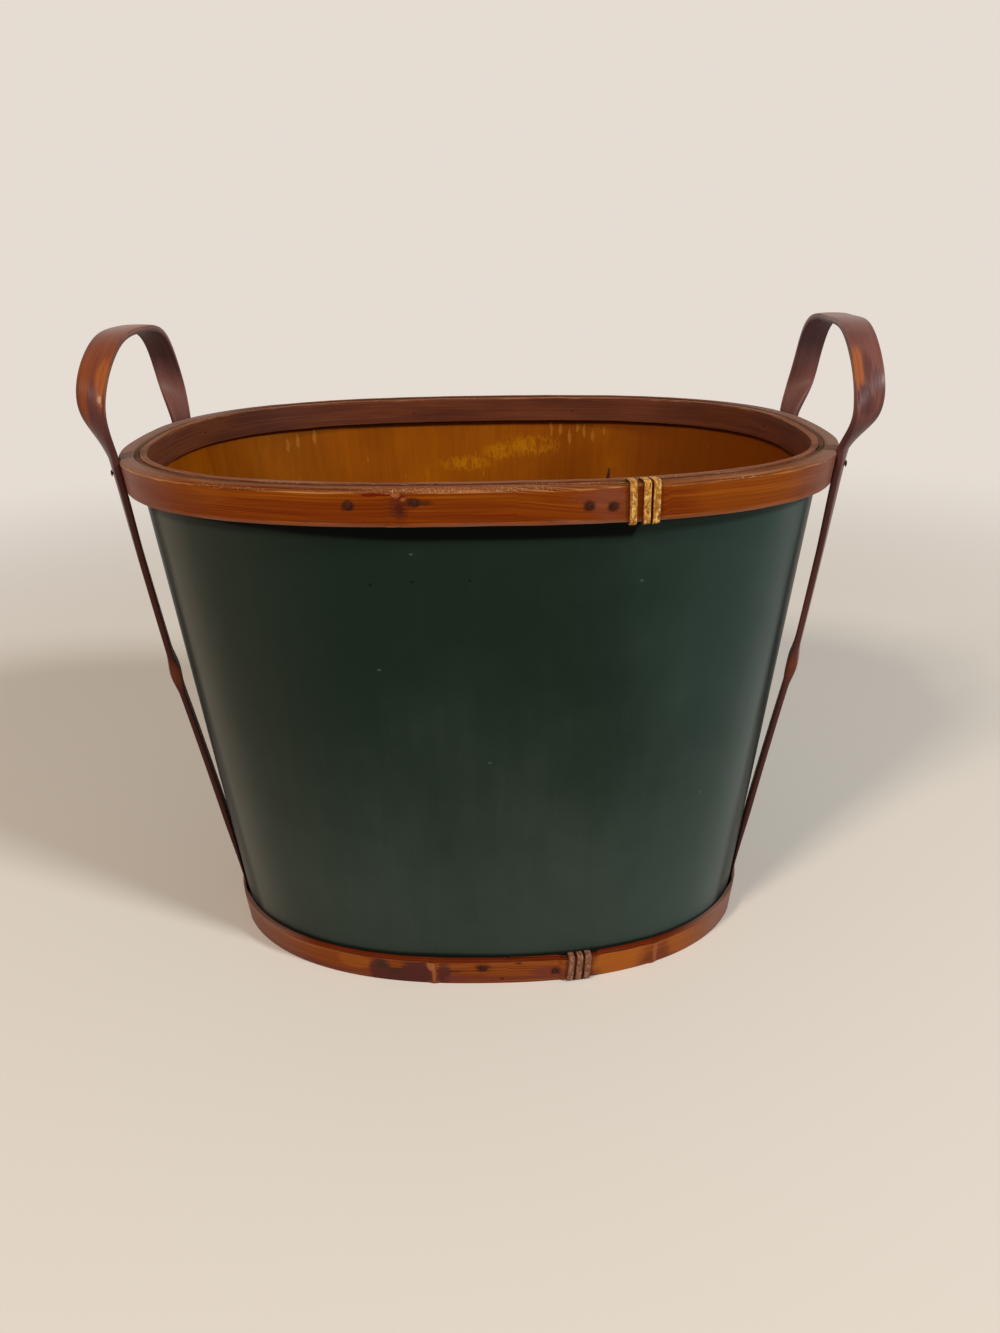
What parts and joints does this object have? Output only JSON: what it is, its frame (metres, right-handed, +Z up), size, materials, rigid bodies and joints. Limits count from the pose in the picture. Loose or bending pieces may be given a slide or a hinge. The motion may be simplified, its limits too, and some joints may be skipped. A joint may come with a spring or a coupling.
{
  "type": "magazine basket",
  "caption": "Oval, tapering bent-sheet magazine basket with split-bamboo hoops at rim and foot, cane lashings and a strip handle looping over each end.",
  "frame": {"origin": "on the floor under the middle of the whole basket with its handles, so that the bounding box's bottom centre is the origin", "axes": "+X along the basket from the left to the right handle, -Y towards the viewer of the lashed front, +Z up"},
  "size_m": [0.4196, 0.3, 0.3692],
  "materials": {
    "wall_green": "dark green satin paint outside, amber varnish inside",
    "base_wood": "varnished board",
    "hoop_bamboo": "varnished orange-brown bamboo",
    "inner_bamboo": "varnished dark red-brown bamboo",
    "handle_bamboo": "glossy reddish-brown bamboo",
    "rim_cane": "straw-coloured cane",
    "foot_cane": "grey-brown cane",
    "nail_iron": "dark iron"
  },
  "bodies": {
    "root": {"base_board": "base_wood", "bottom_hoop": "hoop_bamboo", "bottom_lashing": "foot_cane", "foot_nail_back_1": "nail_iron", "foot_nail_back_2": "nail_iron", "foot_nail_front_1": "nail_iron", "foot_nail_front_2": "nail_iron", "foot_nail_left": "nail_iron", "foot_nail_right": "nail_iron", "handle_left": "handle_bamboo", "handle_nail_left_back": "nail_iron", "handle_nail_left_front": "nail_iron", "handle_nail_right_back": "nail_iron", "handle_nail_right_front": "nail_iron", "handle_right": "handle_bamboo", "rim_nail_back_1": "nail_iron", "rim_nail_back_2": "nail_iron", "rim_nail_front_1": "nail_iron", "rim_nail_front_2": "nail_iron", "rim_nail_front_3": "nail_iron", "rim_nail_front_4": "nail_iron", "top_inner_hoop": "inner_bamboo", "top_lashing": "rim_cane", "top_outer_hoop": "hoop_bamboo", "wall_panel": "wall_green"}
  },
  "joints": []
}
